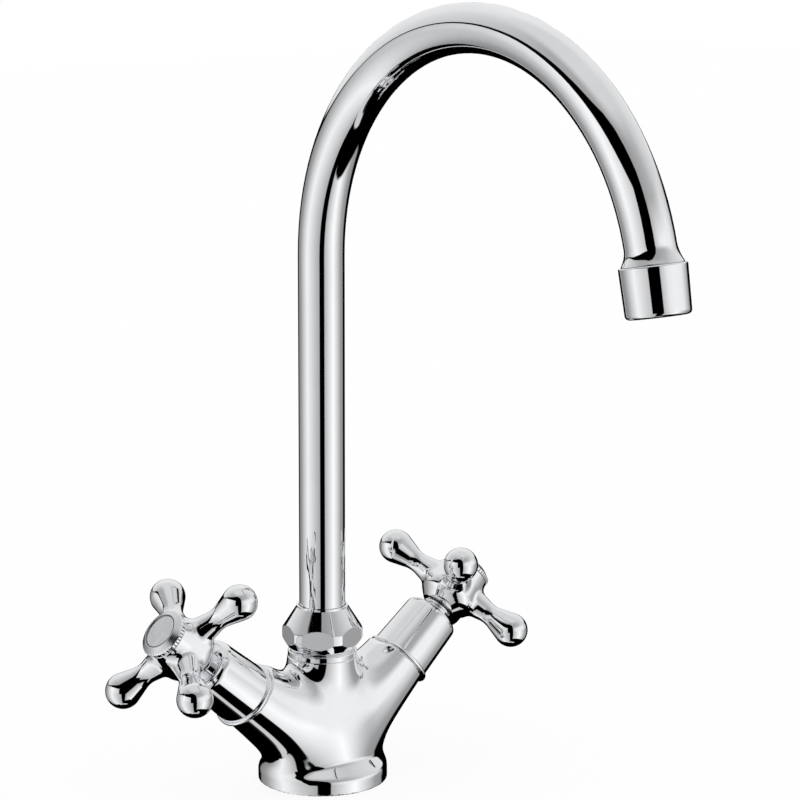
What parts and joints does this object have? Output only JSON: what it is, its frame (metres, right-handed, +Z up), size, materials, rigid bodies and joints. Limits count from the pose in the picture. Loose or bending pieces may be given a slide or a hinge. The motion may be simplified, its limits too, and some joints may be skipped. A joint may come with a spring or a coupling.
{
  "type": "kitchen mixer tap",
  "caption": "Single-hole kitchen mixer tap with a round foot, two angled valves with ball-ended cross handles and a tall swivelling swan-neck spout with an aerator.",
  "frame": {"origin": "middle of the foot's underside, on the deck, on the spout's swivel axis", "axes": "+Z up the spout's swivel axis, -Y the way the spout points at rest, +X towards the cold valve"},
  "size_m": [0.1777, 0.2243, 0.3085],
  "materials": {
    "chrome": "polished chrome plate on brass",
    "cap_chrome": "chrome plate with a satin face",
    "brass": "machined brass",
    "rubber": "smooth nitrile rubber",
    "disc_ceramic": "lapped alumina",
    "acetal": "moulded acetal",
    "stainless": "stainless steel"
  },
  "bodies": {
    "base": {"tap_body": "chrome", "foot_gasket": "rubber", "collar_ring": "chrome", "spout_nut": "chrome", "slip_ring": "acetal", "hot_valve_cover": "chrome", "hot_lock_sleeve": "chrome", "hot_headwork": "brass", "hot_headwork_o_ring": "rubber", "hot_seat_seal": "rubber", "hot_fixed_disc": "disc_ceramic", "cold_valve_cover": "chrome", "cold_lock_sleeve": "chrome", "cold_headwork": "brass", "cold_headwork_o_ring": "rubber", "cold_seat_seal": "rubber", "cold_fixed_disc": "disc_ceramic"},
    "spout": {"spout_tube": "chrome", "spout_tail": "brass", "spout_o_rings": "rubber", "outlet_adaptor": "chrome", "aerator_housing": "chrome", "aerator_washer": "rubber", "aerator_insert": "acetal", "aerator_screen": "stainless"},
    "hot_handle_set": {"hot_handle": "chrome", "hot_index_cap": "cap_chrome", "hot_handle_screw": "stainless", "hot_spindle": "brass", "hot_spindle_o_rings": "rubber", "hot_spindle_clip": "stainless", "hot_moving_disc": "disc_ceramic"},
    "cold_handle_set": {"cold_handle": "chrome", "cold_index_cap": "cap_chrome", "cold_handle_screw": "stainless", "cold_spindle": "brass", "cold_spindle_o_rings": "rubber", "cold_spindle_clip": "stainless", "cold_moving_disc": "disc_ceramic"}
  },
  "joints": [
    {"name": "spout_swivel", "type": "hinge", "parent": "base", "child": "spout", "pos_m": [0, 0, 0.06], "axis": [0, 0, 1], "continuous": true},
    {"name": "hot_valve_turn", "type": "hinge", "parent": "base", "child": "hot_handle_set", "pos_m": [0, 0, 0.0086], "axis": [-0.766, 0, 0.6428], "range_deg": [0, 90]},
    {"name": "cold_valve_turn", "type": "hinge", "parent": "base", "child": "cold_handle_set", "pos_m": [0, 0, 0.0086], "axis": [0.766, 0, 0.6428], "range_deg": [0, 90]}
  ]
}
